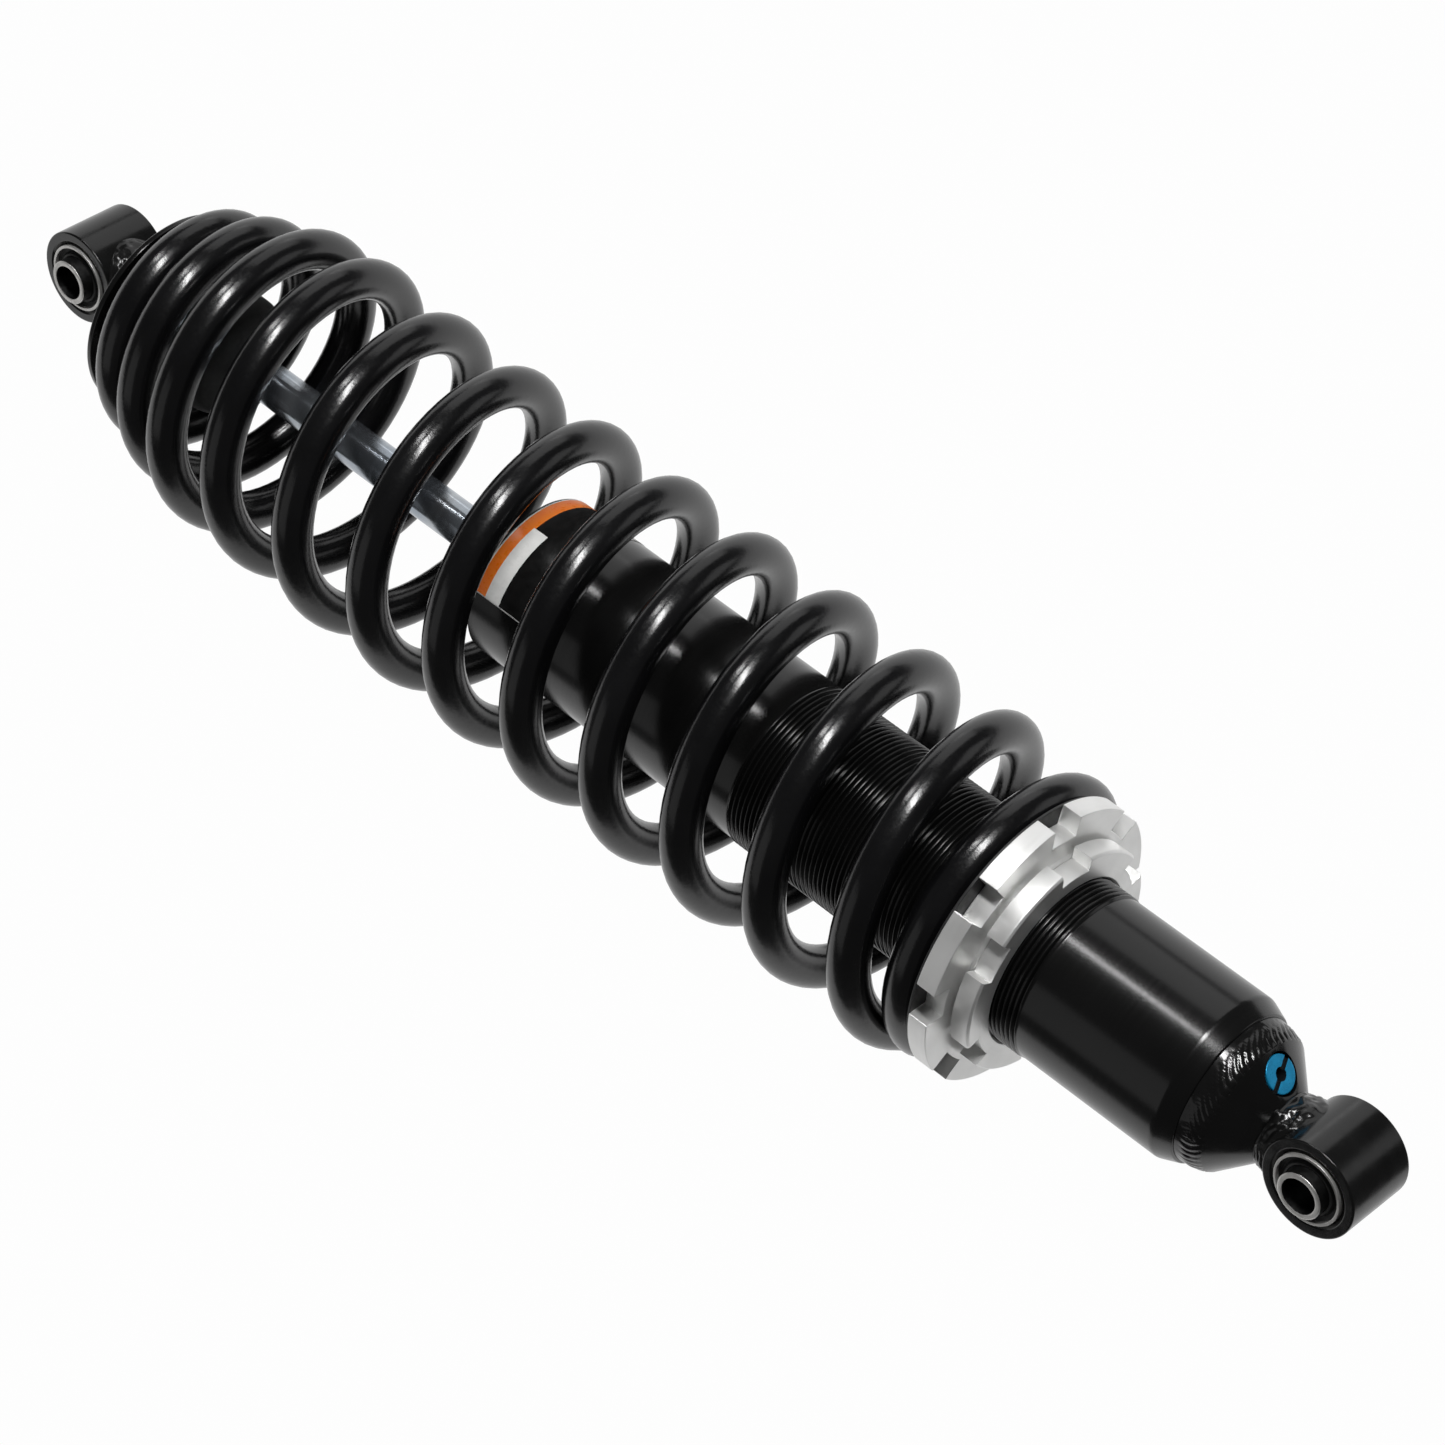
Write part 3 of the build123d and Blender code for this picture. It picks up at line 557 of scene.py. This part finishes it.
# ---- damper body ----
def threaded_tube():
    """Body tube with its helical thread, in one skin."""
    segments, per_turn = 160, 6
    run_out = 0.8 * THREAD_PITCH
    chamfer = 0.3
    # the plain outlines stop at margin from the thread, and their rows nearer than clear are left out
    margin, clear = 1.0, 1.2
    # one turn of the thread, as (share of its pitch, share of its height)
    profile = [(0.0, 0.0), (0.14, 0.0), (0.40, 0.85), (0.50, 1.0), (0.66, 1.0), (0.76, 0.85)]
    turns = int((THREAD_TOP - THREAD_BOTTOM) / THREAD_PITCH)
    thread_end = THREAD_BOTTOM + turns * THREAD_PITCH
    angles = [2 * math.pi * k / segments for k in range(segments)]

    def thread_point(step, angle):
        turn, part = divmod(step, per_turn)
        share, height = profile[part]
        z = THREAD_BOTTOM + (turn + share + angle / (2 * math.pi)) * THREAD_PITCH
        z = min(max(z, THREAD_BOTTOM), thread_end)
        depth = smooth(min(z - THREAD_BOTTOM, thread_end - z), 0.0, run_out)
        cut_radius = THREAD_ROOT + (THREAD_CREST - THREAD_ROOT) * height
        return TUBE_RADIUS + (cut_radius - TUBE_RADIUS) * depth, z

    below = rounded([
        (TUBE_BORE, TUBE_BOTTOM), (TUBE_RADIUS, TUBE_BOTTOM), (TUBE_RADIUS, THREAD_BOTTOM - margin),
        (TUBE_BORE, THREAD_BOTTOM - margin),
    ], 0.8)
    above = rounded([
        (TUBE_BORE, thread_end + margin), (TUBE_RADIUS, thread_end + margin),
        (TUBE_RADIUS, TUBE_TOP - BEVEL_HEIGHT, 0.7), (LIP_RADIUS, TUBE_TOP, 0.4), (TUBE_BORE, TUBE_TOP, 0.2),
    ], 0.05)
    work = bmesh.new()

    def plain_row(radius, z):
        return [work.verts.new(around_axis(radius, angle, z) * MM) for angle in angles]

    def bridge(near, far, shifted=None):
        """Join two rows; on the spiral the last face of a turn runs on into the rows one turn up."""
        for k in range(segments):
            following = (k + 1) % segments
            wrapped = shifted if shifted and following == 0 else (near, far)
            corners = (near[k], wrapped[0][following], wrapped[1][following], far[k])
            if len(set(corners)) == 4:
                work.faces.new(corners)

    mouth = TUBE_BORE + chamfer
    lower = [plain_row(r, z) for r, z in below if r > mouth and z < THREAD_BOTTOM - clear]
    lower = [plain_row(TUBE_BORE, TUBE_BOTTOM + chamfer), plain_row(mouth, TUBE_BOTTOM)] + lower
    upper = [plain_row(r, z) for r, z in above if z > thread_end + clear]
    spiral = []
    for step in range(-per_turn, turns * per_turn + 1):
        row = []
        for angle in angles:
            radius, z = thread_point(step, angle)
            row.append(work.verts.new(around_axis(radius, angle, z) * MM))
        spiral.append(row)
    last = len(spiral) - 1
    for k in range(last):
        shifted = (spiral[min(k + per_turn, last)], spiral[min(k + 1 + per_turn, last)])
        bridge(spiral[k], spiral[k + 1], shifted)
    for rows in (lower + [spiral[0]], [spiral[last]] + upper + [lower[0]]):
        for near, far in zip(rows, rows[1:]):
            bridge(near, far)
    piece = add_piece("body_tube_threaded", work, "body_tube", [TUBE_BLACK], crease=50.0)
    even_faces(piece)


def cone_radius(height):
    """Radius of the end cap's cone at a height."""
    return (CONE_APEX - height) * CONE_SLOPE


def valve_matrix():
    """Frame on the cone where the gas valve sits, with Z out of the metal."""
    around = Vector((-math.sin(VALVE_ANGLE), math.cos(VALVE_ANGLE), 0))
    outward = around_axis(1.0, VALVE_ANGLE, CONE_SLOPE).normalized()
    up = outward.cross(around)
    centre = around_axis(cone_radius(VALVE_HEIGHT), VALVE_ANGLE, VALVE_HEIGHT) * MM
    turn = Matrix((around, up, outward)).transposed().to_4x4()
    return Matrix.Translation(centre) @ turn


def end_cap():
    """Cone and neck, with the pocket that the gas valve sits in."""
    shoulder, foot, neck_end = TUBE_TOP + 0.1, CONE_BASE - 0.4, -10.0
    cone_foot_radius = cone_radius(CONE_BASE)
    piece = turned_piece("body_end_cap", [
        (0, CAP_FLOOR), (CAP_SPIGOT_RADIUS - 0.45, CAP_FLOOR), (CAP_SPIGOT_RADIUS, CAP_FLOOR + 0.5),
        (CAP_SPIGOT_RADIUS, shoulder, 0.05), (CAP_BORE, shoulder, 0.05), (CAP_BORE, foot, 0.05),
        (cone_foot_radius, foot, 0.2), (cone_foot_radius, CONE_BASE, 0.5),
        (NECK_RADIUS, CONE_APEX - NECK_RADIUS / CONE_SLOPE, 1.5), (NECK_RADIUS, neck_end, 0.1),
        (0, neck_end),
    ], 0.3, segments=256)
    pocket_depth, pocket_middle = 8.8, -3.4
    pocket_place = valve_matrix() @ Matrix.Translation((0, 0, pocket_middle * MM))
    cut(piece, [cylinder_mesh(VALVE_POCKET_RADIUS, pocket_depth, pocket_place)])
    bevelled(piece, 0.25, angle=55.0)


def rippled_weld():
    """Circumferential bead laid as overlapping ripples."""
    segments, rows = 720, 16
    ripple_length, ripple_height = 2.35, 0.34
    buried_radius, noise_radius = 19.7, 22
    angles = [2 * math.pi * j / segments for j in range(segments)]
    start, rise = TUBE_TOP - 0.2, CONE_BASE + 0.2 - TUBE_TOP
    heights = [start + rise * k / (rows - 1) for k in range(rows)]
    skin = []
    for k, z in enumerate(heights):
        share = k / (rows - 1)
        base = CAP_WELD_RADIUS + (cone_radius(CONE_BASE) - CAP_WELD_RADIUS) * share
        crown = math.sin(math.pi * share) ** 0.7
        rippled = smooth(share, 0.15, 0.5) * (1 - smooth(share, 0.85, 1.0))
        row = []
        for angle in angles:
            arc = angle * base
            wander = 0.5 * lumps((arc, 0, 0), 9.0, 1.3)
            bow = 4.4 * (share - 0.5) ** 2
            scallop = abs(math.sin(math.pi * ((arc + wander) / ripple_length + bow))) ** 0.6
            lump = 0.10 * lumps(around_axis(noise_radius, angle, z), 1.6, 4.1)
            radius = base + crown * (0.18 + lump) + ripple_height * rippled * scallop
            row.append(around_axis(radius, angle, z) * MM)
        skin.append(row)
    for z in (heights[-1], heights[0]):
        skin.append([around_axis(buried_radius, angle, z) * MM for angle in angles])
    add_piece("cap_weld_beads", stacked_rows(skin), "cap_weld", [WELD_BLACK], crease=60.0)


def neck_weld(node, eye_height, side, far_height, inner, neck, flare, half_width, seed):
    """Rough hand-laid weld from a neck onto the round back of an eye.

    It runs from inner out to neck near its far height and on out to flare where it meets the eye, all
    three radii, and stays within half_width along the bolt. side is 1 above the eye and -1 below it.
    """
    segments, rows = 200, 26
    buried_radius, buried_depth = 6, 7.0
    angles = [2 * math.pi * j / segments for j in range(segments)]

    def kept(x):
        return min(max(x, -half_width), half_width)

    skin = []
    for k in range(rows):
        share = k / (rows - 1)
        reach = inner + (neck - inner) * smooth(share, -0.05, 0.2) + (flare - neck) * share ** 1.6
        fade = math.sin(math.pi * share) ** 0.5
        row = []
        for angle in angles:
            x = kept(reach * math.cos(angle))
            y = reach * math.sin(angle)
            seat = eye_height + side * math.sqrt(EYE_RADIUS ** 2 - y * y)
            z = far_height + (seat - far_height) * share
            rough = 0.55 * lumps((x, y, z), 3.4, seed) + 0.16 * lumps((x, y, z), 1.5, seed + 5)
            bead = 0.35 * abs(math.sin(math.pi * (3.2 * share + 0.7 * lumps((x, y, 0), 5.0, seed)))) ** 0.7
            grow = 1 + fade * (rough + bead) / reach
            row.append(Vector((kept(x * grow), y * grow, z)) * MM)
        skin.append(row)
    for z in (eye_height + side * (EYE_RADIUS - buried_depth), far_height):
        skin.append([around_axis(buried_radius, angle, z) * MM for angle in angles])
    add_piece(f"{node}_bead", stacked_rows(skin), node, [WELD_BLACK], crease=60.0)


def eye_and_bush(prefix, height):
    """Eye tube with its bush: steel shell, dished rubber and the inner sleeve."""
    centre = (0, 0, height)
    half = span(f"{prefix}_eye")[1].x
    chamfer = 1.3
    mouth = EYE_BORE + chamfer
    turned_piece(f"{prefix}_eye", [
        (EYE_BORE, -half + chamfer), (mouth, -half), (EYE_RADIUS, -half, 0.55), (EYE_RADIUS, half, 0.55),
        (mouth, half), (EYE_BORE, half - chamfer),
    ], 0.25, "X", centre)
    shell, shell_radius = half + 0.5, EYE_BORE - 0.01
    turned_piece(f"{prefix}_bush_outer_sleeve", [
        (BUSH_BORE, -shell), (shell_radius, -shell), (shell_radius, shell), (BUSH_BORE, shell),
    ], 0.18, "X", centre)
    clearance = 0.06
    inner = SLEEVE_RADIUS + clearance
    middle = (inner + BUSH_BORE) / 2
    turned_piece(f"{prefix}_bush_rubber", [
        (inner, -half - 0.1), (inner + 0.7, -half), (middle, -half + 1.4, 0.8), (BUSH_BORE, -half + 0.5),
        (BUSH_BORE, half - 0.5), (middle, half - 1.4, 0.8), (inner + 0.7, half), (inner, half + 0.1),
    ], 0.25, "X", centre)
    sleeve = span(f"{prefix}_bush_inner_sleeve")[1].x
    piece = turned_piece(f"{prefix}_bush_inner_sleeve", [
        (BOLT_RADIUS, -sleeve), (SLEEVE_RADIUS, -sleeve, 0.5), (SLEEVE_RADIUS, sleeve, 0.5),
        (BOLT_RADIUS, sleeve),
    ], 0.3, "X", centre)
    piece.data.materials.append(BORE_STEEL)
    for face in piece.data.polygons:
        reach = math.hypot(face.center.y / MM, face.center.z / MM - height)
        if reach < BOLT_RADIUS + clearance or reach > SLEEVE_RADIUS - clearance:
            face.material_index = 1


def gas_screw():
    """Slotted, bored screw over the gas port, with painted shade, a dark blue-black, on the walls and floors
    of its slot and bore.
    """
    base = valve_matrix()
    outline = rounded([
        (0, VALVE_SCREW_FOOT), (VALVE_SCREW_RADIUS, VALVE_SCREW_FOOT),
        (VALVE_SCREW_RADIUS, VALVE_SCREW_TOP, 0.35), (0, VALVE_SCREW_TOP),
    ], 0.2)
    work = lathe(outline, segments=96)
    bmesh.ops.transform(work, matrix=base, verts=work.verts)
    piece = add_piece("gas_valve_screw_slotted", work, "gas_valve_screw", [BLUE])
    along_slot = base @ Matrix.Rotation(VALVE_SLOT_ANGLE, 4, "Z")
    slot_length, slot_depth, slot_middle = 30, 1.6, -0.9
    slot_place = along_slot @ Matrix.Translation((0, 0, slot_middle * MM))
    hole_depth, hole_middle = 6.0, -2.0
    hole_place = base @ Matrix.Translation((0, 0, hole_middle * MM))
    cut(piece, [
        box_mesh((slot_length, VALVE_SLOT_WIDTH, slot_depth), slot_place),
        cylinder_mesh(VALVE_HOLE_RADIUS, hole_depth, hole_place, 48),
    ])
    # the faces sunk in the slot and the bore get painted shade in place of the screw's blue
    piece.data.materials.append(SLOT_PAINTED_SHADE)
    into_slot = along_slot.inverted()
    margin = 0.1
    for face in piece.data.polygons:
        at = (into_slot @ face.center) / MM
        reach = math.hypot(at.x, at.y)
        in_slot = abs(at.y) < VALVE_SLOT_WIDTH / 2 + margin / 2
        in_hole = reach < VALVE_HOLE_RADIUS + margin
        sunk = at.z < VALVE_SCREW_TOP - margin and reach < VALVE_SCREW_RADIUS - margin
        if sunk and (in_slot or in_hole):
            face.material_index = 1
    bevelled(piece, 0.12, angle=50.0)


# ---- rod side ----
def rod_side():
    """Chromed rod, its boss, the spring retainer and the bump stop."""
    rod_low, rod_high = span("rod")
    radius = rod_high.x
    shoulder, spigot = -250.0, 4.9
    turned_piece("rod", [
        (0, rod_low.z), (radius, rod_low.z), (radius, shoulder, 0.6), (spigot, shoulder),
        (spigot, rod_high.z, 0.8), (0, rod_high.z),
    ], 0.2, segments=160)

    top, wide = span("rod_end_boss")[1].z, span("rod_end_boss")[1].x
    bore_end, foot, waist = -455.0, ROD_EYE_HEIGHT + 9, 10.5
    turned_piece("rod_end_boss", [
        (radius, top), (radius, bore_end), (0, bore_end), (0, foot), (waist, foot), (waist, top - 4.6, 1.2),
        (wide, top - 3.0, 0.4), (wide, top, 0.6),
    ], 0.1)

    low, high = span("spring_retainer")
    seat, rim, pilot, hub = low.z + 4.0, high.y, 24.2, 20.0
    rim_foot, bore, cup = seat - 2.0, radius + 1.4, 21.0
    piece = turned_piece("spring_retainer", [
        (bore, low.z), (hub, low.z, 0.6), (hub + 2.0, rim_foot, 0.8), (rim, rim_foot, 0.7),
        (rim, seat, 0.4), (pilot, seat, 0.6), (pilot, high.z, 1.0),
        (cup, high.z, 0.5), (cup, seat, 0.5), (bore, seat),
    ], 0.3)
    slot_length, slot_width = 60, 13.6
    slot_place = Matrix.Translation(Vector((-slot_length / 2, 0, seat)) * MM)
    cut(piece, [box_mesh((slot_length, slot_width, slot_length), slot_place)])
    bevelled(piece, 0.3, angle=55.0)

    base, nose = span("bump_stop")[0].z, span("bump_stop")[1].z
    bump, bore = span("bump_stop")[1].x, radius + 0.08
    turned_piece("bump_stop", [
        (bore, base), (bump, base, 0.8), (bump, base + 11.0, 1.6), (bump - 2.0, base + 13.0, 1.5),
        (bump, base + 15.0, 1.6), (bump, nose - 6.0, 2.0), (bump - 2.0, nose - 1.8, 1.2),
        (bump - 6.0, nose, 1.5), (bore + 1.0, nose), (bore, nose - 1.0),
    ], 0.4)


# ---- spring ----
def spring_pitch(turn):
    """Pitch at a turn: close-wound at the rod end, even in the middle, flat at the ring."""
    lower = SEAT_PITCH + (CLOSE_PITCH - SEAT_PITCH) * smooth(turn, *SEAT_LIFTS)
    opened = lower + (ACTIVE_PITCH - lower) * smooth(turn, *COILS_OPEN)
    return opened * (1 - smooth(turn, *COILS_FLATTEN))


def coil_spring():
    """Round-wire spring on the ring; a hook on the retainer shares the stroke out over its open coils."""
    per_turn, section = 64, 28
    count = int(SPRING_TURNS * per_turn)
    rises, free = [0.0], [0.0]
    for i in range(count):
        pitch = spring_pitch((i + 0.5) / per_turn)
        rises.append(rises[-1] + pitch / per_turn)
        free.append(free[-1] + max(pitch - SOLID_PITCH, 0.0) / per_turn)
    scale = (SPRING_TOP - SPRING_BOTTOM) / rises[-1]

    def centre(i):
        turn = i / per_turn
        at_rod = smooth(turn, *ROD_END_SHIFTS) * (1 - smooth(turn, *ROD_END_CENTRES))
        at_ring = smooth(turn, *RING_END_SHRINKS)
        radius = END_COIL_RADIUS + (COIL_RADIUS - END_COIL_RADIUS) * smooth(turn, *ROD_END_GROWS)
        radius -= (COIL_RADIUS - RING_COIL_RADIUS) * at_ring
        angle = SPRING_START + 2 * math.pi * turn
        offset = END_COIL_OFFSET * at_rod + RING_COIL_OFFSET * at_ring
        return offset + around_axis(radius, angle, SPRING_BOTTOM + scale * rises[i])

    skin = WIRE_RADIUS - COAT_ALLOWANCE
    rounded_start = [(0.0, skin - WIRE_END_ROUNDING), (WIRE_END_ROUNDING, skin)]
    rounded_finish = [(-WIRE_END_ROUNDING, skin), (0.0, skin - WIRE_END_ROUNDING)]
    sections_at = {0: rounded_start, count: rounded_finish}
    work = bmesh.new()
    layer = work.verts.layers.deform.new()
    rings = []
    for i in range(count + 1):
        middle = centre(i)
        along = (centre(min(i + 1, count)) - centre(max(i - 1, 0))).normalized()
        out = Vector((middle.x, middle.y, 0)).normalized()
        out = (out - along * out.dot(along)).normalized()
        side = along.cross(out)
        share = 1 - free[i] / free[-1]
        for shift, radius in sections_at.get(i, [(0.0, skin)]):
            ring = []
            for k in range(section):
                angle = 2 * math.pi * k / section
                offset = out * (radius * math.cos(angle)) + side * (radius * math.sin(angle))
                vertex = work.verts.new((middle + along * shift + offset) * MM)
                vertex[layer][0] = share
                ring.append(vertex)
            rings.append(ring)
    for near, far in zip(rings, rings[1:]):
        for k in range(section):
            following = (k + 1) % section
            work.faces.new((near[k], near[following], far[following], far[k]))
    work.faces.new(rings[0][::-1])
    work.faces.new(rings[-1])
    piece = add_piece("spring_coil", work, "spring", [POWDER], crease=70.0)
    piece.vertex_groups.new(name="rod_end_share")
    hook = piece.modifiers.new("rod_end", "HOOK")
    hook.object = BODIES["retainer"]
    hook.vertex_group = "rod_end_share"
    hook.falloff_type = "NONE"
    hook.matrix_inverse = Matrix.Identity(4)


# ---- preload and lock rings ----
def notched_outline(notches, first):
    """Places once round a notched rim, as (angle, which wall of a notch it is on, whether on its floor)."""
    step = 2 * math.pi / notches
    floor_step, land_points = 0.09, 18
    outline = []
    for i in range(notches):
        middle = math.radians(first) + i * step
        outline += [(middle, -1, False), (middle, -1, True)]
        outline += [(middle + floor_step * k, 0, True) for k in (-1, 0, 1)]
        outline += [(middle, 1, True), (middle, 1, False)]
        for k in range(land_points):
            share = 0.2 + 0.6 * k / (land_points - 1)
            outline.append((middle + step * share, 0, False))
    return outline


def castellated(node, rows, notches, width, first, floor_radius, bevel):
    """Ring with a notched rim, from (radius, height, whether notched) rows taken once round its section."""
    outline = notched_outline(notches, first)
    skin = []
    for radius, z, notched in rows:
        row = []
        for angle, wall, on_floor in outline:
            reach = floor_radius if notched and on_floor else radius
            turn = wall * math.asin(width / 2 / (reach if notched else floor_radius))
            row.append(around_axis(reach, angle + turn, z) * MM)
        skin.append(row)
    piece = add_piece(f"{node}_machined", stacked_rows(skin), node, [ALUMINIUM], crease=25.0)
    bevelled(piece, bevel, angle=42.0, crease=22.0)


def rings():
    """Preload ring that the spring sits on, the lock ring behind it and the slip washer."""
    bore = THREAD_CREST + 0.08
    low, high = span("preload_ring")
    washer_low, washer_high = span("spring_slip_washer")
    back, front = washer_high.z + 0.05, high.z - 1.3
    castellated("preload_ring", [
        (bore, low.z, False), (PRELOAD_PILOT, low.z, False), (PRELOAD_PILOT, back, False),
        (PRELOAD_RIM, back, True), (PRELOAD_RIM, front, True), (PRELOAD_COLLAR, front, False),
        (PRELOAD_COLLAR, high.z, False), (bore, high.z, False),
    ], notches=8, width=10.4, first=-4.5, floor_radius=PRELOAD_NOTCH_FLOOR, bevel=0.28)

    low, high = span("lock_ring")
    edge, lead_in = 0.6, 0.7
    castellated("lock_ring", [
        (bore, low.z, False), (LOCK_RIM, low.z, True), (LOCK_RIM, high.z - edge, True),
        (LOCK_RIM - edge, high.z, True), (bore + lead_in, high.z, False), (bore, high.z - lead_in, False),
    ], notches=6, width=11.2, first=-31.0, floor_radius=LOCK_NOTCH_FLOOR, bevel=0.22)

    inner, outer = PRELOAD_PILOT + 0.35, washer_high.x
    turned_piece("spring_slip_washer", [
        (inner, washer_low.z), (outer, washer_low.z), (outer, washer_high.z), (inner, washer_high.z),
    ], 0.2)


# ---- label and the open end of the tube ----
def label():
    """Vinyl label in plain bands, with thin pale border lines and no lettering."""
    low, high = span("caution_label")
    radius = TUBE_RADIUS + 0.12
    # edges of the bands, upwards: border, orange, seam, white panel, black, border
    heights = [low.z, low.z + 0.4, low.z + 3.9, low.z + 4.5, low.z + 9.2, high.z - 0.5, high.z]
    orange_band, seam_band, panel_band = 1, 2, 3
    last_band = len(heights) - 2

    # in degrees: the label's ends, where its white panel starts, and its border line
    start, panel_start, finish, line = -169.0, -75.0, -19.0, 0.9
    plain_steps, panel_steps = 48, 28
    plain_arc, panel_arc = panel_start - start - line, finish - line - panel_start
    angles = [start, start + line]
    angles += [start + line + plain_arc * k / plain_steps for k in range(1, plain_steps + 1)]
    angles += [panel_start + panel_arc * k / panel_steps for k in range(1, panel_steps + 1)]
    angles += [finish]
    last_column = len(angles) - 2

    orange, white, black = range(3)
    work = bmesh.new()
    grid = [
        [work.verts.new(around_axis(radius, math.radians(angle), z) * MM) for angle in angles]
        for z in heights
    ]
    for i in range(last_band + 1):
        for j in range(last_column + 1):
            face = work.faces.new((grid[i][j], grid[i][j + 1], grid[i + 1][j + 1], grid[i + 1][j]))
            on_panel = angles[j] >= panel_start - 0.01
            if i in (0, last_band) or j in (0, last_column):
                face.material_index = white
            elif i == orange_band or (i == seam_band and not on_panel):
                face.material_index = orange
            elif on_panel and i in (seam_band, panel_band):
                face.material_index = white
            else:
                face.material_index = black
    piece = add_piece("caution_label_bands", work, "caution_label", [ORANGE, WHITE, LABEL_BLACK])
    skin = piece.modifiers.new("film", "SOLIDIFY")
    skin.thickness = 0.1 * MM
    skin.offset = -1.0
    apply_modifiers(piece)


def tube_end():
    """Dust cap and the wiper inside it."""
    low, high = span("dust_cap")
    bore, rim = 14.2, high.x
    turned_piece("dust_cap", [
        (bore, low.z + 0.5, 0.3), (bore + 1.2, low.z, 0.6), (rim - 1.0, low.z, 0.8), (rim, low.z + 0.9, 0.4),
        (rim, high.z), (bore, high.z),
    ], 0.1)
    low, high = span("rod_wiper")
    flange_foot, flange_radius = -284.8, 12.9
    lip, waist, throat = span("rod")[1].x + 0.08, 9.0, 8.0
    turned_piece("rod_wiper", [
        (waist, flange_foot), (flange_radius, flange_foot), (flange_radius, high.z), (throat, high.z),
        (lip, low.z + 0.3), (lip + 0.9, low.z),
    ], 0.2)


# ---- light, floor and camera ----
IMAGE_RIGHT = Vector((-0.6872, -0.1124, 0.7177))
IMAGE_UP = Vector((-0.4326, -0.7303, -0.5287))
TO_CAMERA = Vector((0.58356, -0.67383, 0.45323))
CAMERA_PLACE = Vector((0.75642, -0.87123, 0.37243))
SHOCK_MIDDLE = Vector((0, 0, -0.235))


def camera():
    """Long lens, rolled so that the shock lies across the frame with its upper eye at the lower right."""
    data = bpy.data.cameras.new("camera")
    data.lens = 118.26
    data.sensor_width = 36.0
    data.clip_start = 0.01
    data.clip_end = 50
    item = bpy.data.objects.new("camera", data)
    bpy.context.scene.collection.objects.link(item)
    back = TO_CAMERA.normalized()
    right = IMAGE_UP.cross(back).normalized()
    up = back.cross(right)
    turn = Matrix((right, up, back)).transposed().to_4x4()
    item.matrix_world = Matrix.Translation(CAMERA_PLACE) @ turn
    bpy.context.scene.camera = item


def softbox(name, direction, distance, width, height, radiance):
    """Rectangular light of an even radiance, aimed at the middle of the shock.

    Its height runs as near as it can to the shock axis, and its width across that.
    """
    data = bpy.data.lights.new(name, "AREA")
    data.shape = "RECTANGLE"
    data.size, data.size_y = width, height
    data.energy = radiance * math.pi * width * height
    away = Vector(direction).normalized()
    side = Vector((0, 0, 1)).cross(away).normalized()
    turn = Matrix((side, away.cross(side), away)).transposed().to_4x4()
    item = bpy.data.objects.new(name, data)
    bpy.context.scene.collection.objects.link(item)
    item.matrix_world = Matrix.Translation(SHOCK_MIDDLE + away * distance) @ turn
    item.visible_camera = False


def camera_only(item, material):
    """Scenery that the camera sees and that casts no light or shadow on the shock."""
    item.data.materials.append(material)
    item.visible_glossy = False
    item.visible_diffuse = False
    item.visible_shadow = False


def scenery(name, build):
    """Mesh object for the studio, built by a bmesh operator."""
    work = bmesh.new()
    build(work)
    mesh = bpy.data.meshes.new(name)
    work.to_mesh(mesh)
    work.free()
    item = bpy.data.objects.new(name, mesh)
    bpy.context.scene.collection.objects.link(item)
    return item


def studio():
    """White floor and backdrop, a dim room and soft boxes."""
    material, _, shader = tree_of("studio_white")
    shader.inputs["Base Color"].default_value = (0, 0, 0, 1)
    shader.inputs["Roughness"].default_value = 1.0
    shader.inputs["Specular IOR Level"].default_value = 0.0
    shader.inputs["Emission Color"].default_value = (1, 1, 1, 1)
    shader.inputs["Emission Strength"].default_value = 0.985
    floor = scenery("floor", lambda work: bmesh.ops.create_grid(work, x_segments=1, y_segments=1, size=8.0))
    floor.location.z = cad_box[0].z - 0.0005
    camera_only(floor, material)
    backdrop = scenery("backdrop", lambda work: bmesh.ops.create_uvsphere(
        work, u_segments=48, v_segments=24, radius=9.0))
    camera_only(backdrop, material)

    world = bpy.data.worlds.new("room")
    world.use_nodes = True
    world.node_tree.nodes["Background"].inputs["Color"].default_value = (1, 1, 1, 1)
    world.node_tree.nodes["Background"].inputs["Strength"].default_value = 0.06
    bpy.context.scene.world = world
    bpy.context.scene.view_settings.view_transform = "Standard"

    # each light: its direction and distance from the shock, its width and height in metres, its radiance
    right, up, near = IMAGE_RIGHT, IMAGE_UP, TO_CAMERA
    softbox("key_strip", (0.17, -0.95, 0.22), 1.5, 0.20, 0.70, 38.0)
    softbox("low_strip", (0.17, -0.93, -0.36), 1.5, 0.09, 0.55, 26.0)
    softbox("table_bounce", -near, 0.45, 3.0, 3.0, 0.80)
    softbox("top_box", up + near * 0.05 + right * 0.2, 1.5, 1.0, 1.0, 0.8)
    softbox("left_wall", -right - up * 0.45 + near * 0.45, 1.8, 1.3, 1.3, 0.30)
    softbox("right_wall", right + up * 0.3 + near * 0.15, 1.8, 0.8, 0.8, 0.6)


# ---- build ----
for node, item in NODES.items():
    for slot_item in item.material_slots:
        slot_item.link = "OBJECT"
        slot_item.material = SLOT_MATERIALS[SLOT_OF[node]]

camera()
studio()
threaded_tube()
end_cap()
rippled_weld()
eye_and_bush("body", 0.0)
eye_and_bush("rod", ROD_EYE_HEIGHT)
neck_weld("body_eye_weld", eye_height=0.0, side=-1, far_height=-18.5, inner=9.4, neck=10.9, flare=12.4,
          half_width=11.3, seed=2.0)
neck_weld("rod_eye_weld", eye_height=ROD_EYE_HEIGHT, side=1, far_height=-451.5, inner=10.4, neck=11.2,
          flare=12.8, half_width=11.3, seed=7.0)
gas_screw()
label()
tube_end()
rod_side()
coil_spring()
rings()
